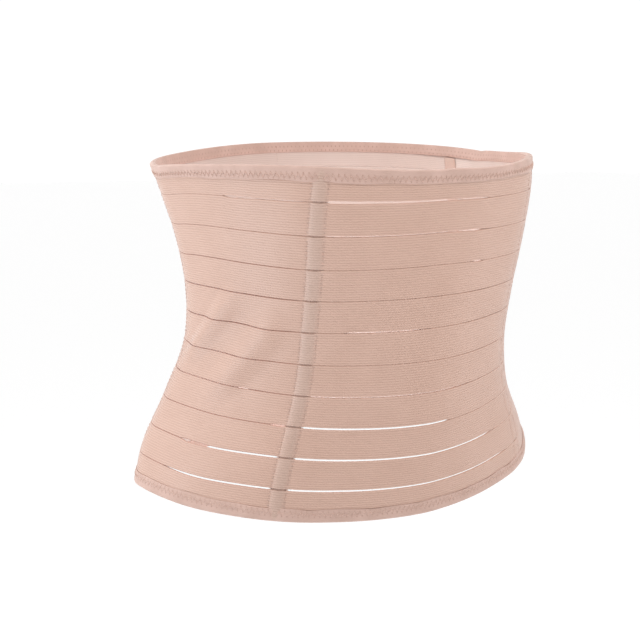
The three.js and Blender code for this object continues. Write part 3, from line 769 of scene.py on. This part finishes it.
def closure_base(drop):
    """The lift of the panel's inner face, which steps out over the two bindings."""
    near = np.minimum(drop - top_rim_drop, bottom_rim_drop - drop)
    over = smooth((binding_width + 2.4 - near) / 2.0)
    return strip_lift + strip_thickness + closure_gap + over * (binding_gap + binding_thickness + step_clear)


def closure_face(aside, drop):
    """The lift of the panel's outer face: full in the middle, pressed along the sewn edge."""
    near = np.minimum(drop - top_rim_drop - closure_inset, bottom_rim_drop - closure_inset - drop)
    edge = np.minimum(near, closure_width / 2 - np.abs(aside))
    dent = seam_dent * np.exp(-(((edge - closure_seam) / dent_reach) ** 2))
    body = edge_part + (1 - edge_part) * smooth(edge / full_from) - dent
    return closure_base(drop) + closure_thickness * body * np.sqrt(np.clip(edge / 0.8 + 0.15, 0, 1))


drop = np.linspace(top_rim_drop + closure_inset, bottom_rim_drop - closure_inset, 150)[:, None]
outer_aside = np.linspace(-closure_width / 2, closure_width / 2, 48)
inner_aside = outer_aside[::-1]
aside = np.concatenate([outer_aside, inner_aside])
outer = np.broadcast_to(closure_face(outer_aside, drop), (len(drop), len(outer_aside)))
inner = np.broadcast_to(closure_base(drop), (len(drop), len(inner_aside)))
share = 0.5 + aside / girth_at(drop)
rings = cloth(share, drop, np.concatenate([outer, inner], axis=1))
closure = loft("loop_back_closure", rings, drop * mm, aside * mm)
closure.data.materials.append(loop_cloth)
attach(closure, "root")
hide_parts("back_closure")

half_seam = closure_width / 2 - closure_seam
rim_seam = closure_inset + closure_seam
corner_gap = 0.5
first, last = top_rim_drop + rim_seam + corner_gap, bottom_rim_drop - rim_seam - corner_gap
upright = np.arange(first, last - stitch_step, stitch_step)
level = np.arange(-half_seam, half_seam - stitch_step, stitch_step)
seams = dict(starts=[], ends=[])
for end, shift in (("starts", hole_inset), ("ends", stitch_step - hole_inset)):
    for side in (-1, 1):
        drop = upright + shift
        seams[end].append(np.stack([0.5 + side * half_seam / girth_at(drop), drop], -1))
    for drop in (top_rim_drop + rim_seam, bottom_rim_drop - rim_seam):
        share = 0.5 + (level + shift) / girth_at(drop)
        seams[end].append(np.stack([share, np.full(len(level), drop)], -1))
sew(
    "closure_seam_thread",
    np.concatenate(seams["starts"]),
    np.concatenate(seams["ends"]),
    lambda share, drop: closure_face((share - 0.5) * girth_at(drop), drop),
    zigzag_thread_radius,
)

# Studio
# A plain pale floor far below the band, and a white backdrop whose light comes mostly from behind. Four soft
# lamps stand round the band and a small one inside it. The camera is at the right front, a little above it.
floor_half, floor_level = 30.0, -1.05
corners = [(x * floor_half, y * floor_half, floor_level) for x, y in ((-1, -1), (1, -1), (1, 1), (-1, 1))]
floor_mesh = bpy.data.meshes.new("studio_floor")
floor_mesh.from_pydata(corners, [], [(0, 1, 2, 3)])
floor = bpy.data.objects.new("studio_floor", floor_mesh)
bpy.context.scene.collection.objects.link(floor)
# Matt white paper, lit to a clear white.
paper = bpy.data.materials.new("matt white paper")
paper.use_nodes = True
shader = paper.node_tree.nodes["Principled BSDF"]
shader.inputs["Base Color"].default_value = linear("#f4f4f4")
shader.inputs["Roughness"].default_value = 0.9
shader.inputs["Emission Color"].default_value = linear("#ffffff")
shader.inputs["Emission Strength"].default_value = 0.2
floor.data.materials.append(paper)

world = bpy.data.worlds.new("studio_light")
bpy.context.scene.world = world
world.use_nodes = True
tree = world.node_tree
sky = tree.nodes["Background"]
sky.inputs["Color"].default_value = linear("#ffffff")
spot = add(tree, "ShaderNodeTexCoord", {})
to_back = {0: spot.outputs["Generated"], 1: (0, 0.8, 0.6)}
behind = add(tree, "ShaderNodeVectorMath", to_back, operation="DOT_PRODUCT")
backdrop = add(tree, "ShaderNodeMapRange", {0: behind.outputs["Value"], 1: -0.3, 2: 0.3, 3: 0.12, 4: 1.05})
path = add(tree, "ShaderNodeLightPath", {})
lit_and_seen = {0: backdrop.outputs[0], 1: path.outputs["Is Camera Ray"]}
strength = add(tree, "ShaderNodeMath", lit_and_seen, operation="MAXIMUM")
tree.links.new(strength.outputs[0], sky.inputs["Strength"])

azimuth, elevation = np.radians(-30.79), np.radians(9.38)
distance, aim_height, aim_right = 0.756, -0.0107, -0.0184
level_towards = np.array([np.sin(azimuth), -np.cos(azimuth), 0.0])
towards = level_towards * np.cos(elevation) + np.array([0.0, 0.0, np.sin(elevation)])
right = np.array([np.cos(azimuth), np.sin(azimuth), 0.0])
aim = np.array([0.0, 0.0, aim_height]) + right * aim_right


def facing(place, at):
    """The turn that points an object's -Z from place to a point, with its X along the picture's level."""
    back = (place - at) / np.linalg.norm(place - at)
    axes = np.array([right, np.cross(back, right), back])
    rows = [[*axes[:, i], place[i]] for i in range(3)]
    return Matrix([*rows, [0, 0, 0, 1]])


white, warm, cool, cold = (1.0, 1.0, 1.0), (1.0, 0.965, 0.945), (0.95, 0.985, 1.0), (0.84, 0.92, 1.0)
lamps = [
    dict(name="key", kind="AREA", right=-1.13, up=1.13, ahead=0.0, size=0.8, power=7.9, tint=cool),
    dict(name="fill", kind="AREA", right=0.73, up=1.03, ahead=0.87, size=0.8, power=10.1, tint=warm),
    dict(name="low", kind="AREA", right=-1.4, up=-0.41, ahead=0.65, size=0.8, power=7.7, tint=cold),
    dict(name="right", kind="AREA", right=1.565, up=-0.05, ahead=0.0, size=0.8, power=3.4, tint=white),
    dict(name="inside", kind="POINT", right=0.0, up=-0.02, ahead=-0.01, size=0.04, power=0.33, tint=cold),
]
for row in lamps:
    light = bpy.data.lights.new(f"{row['name']}_lamp", row["kind"])
    if row["kind"] == "AREA":
        light.size = row["size"]
    else:
        light.shadow_soft_size = row["size"]
    light.energy = row["power"]
    light.color = row["tint"]
    lamp = bpy.data.objects.new(f"{row['name']}_lamp", light)
    lamp.visible_camera = False
    bpy.context.scene.collection.objects.link(lamp)
    place = right * row["right"] + level_towards * row["ahead"] + np.array([0, 0, row["up"]])
    lamp.matrix_world = facing(place, np.zeros(3))

picture_width, focal_length = 640, 1084  # in the picture's pixels
lens = bpy.data.cameras.new("camera")
lens.sensor_width = 36.0
lens.lens = focal_length / picture_width * lens.sensor_width
lens.clip_start = 0.01
camera = bpy.data.objects.new("camera", lens)
bpy.context.scene.collection.objects.link(camera)
camera.matrix_world = facing(aim + towards * distance, aim)
bpy.context.scene.camera = camera
bpy.context.scene.view_settings.view_transform = "Standard"
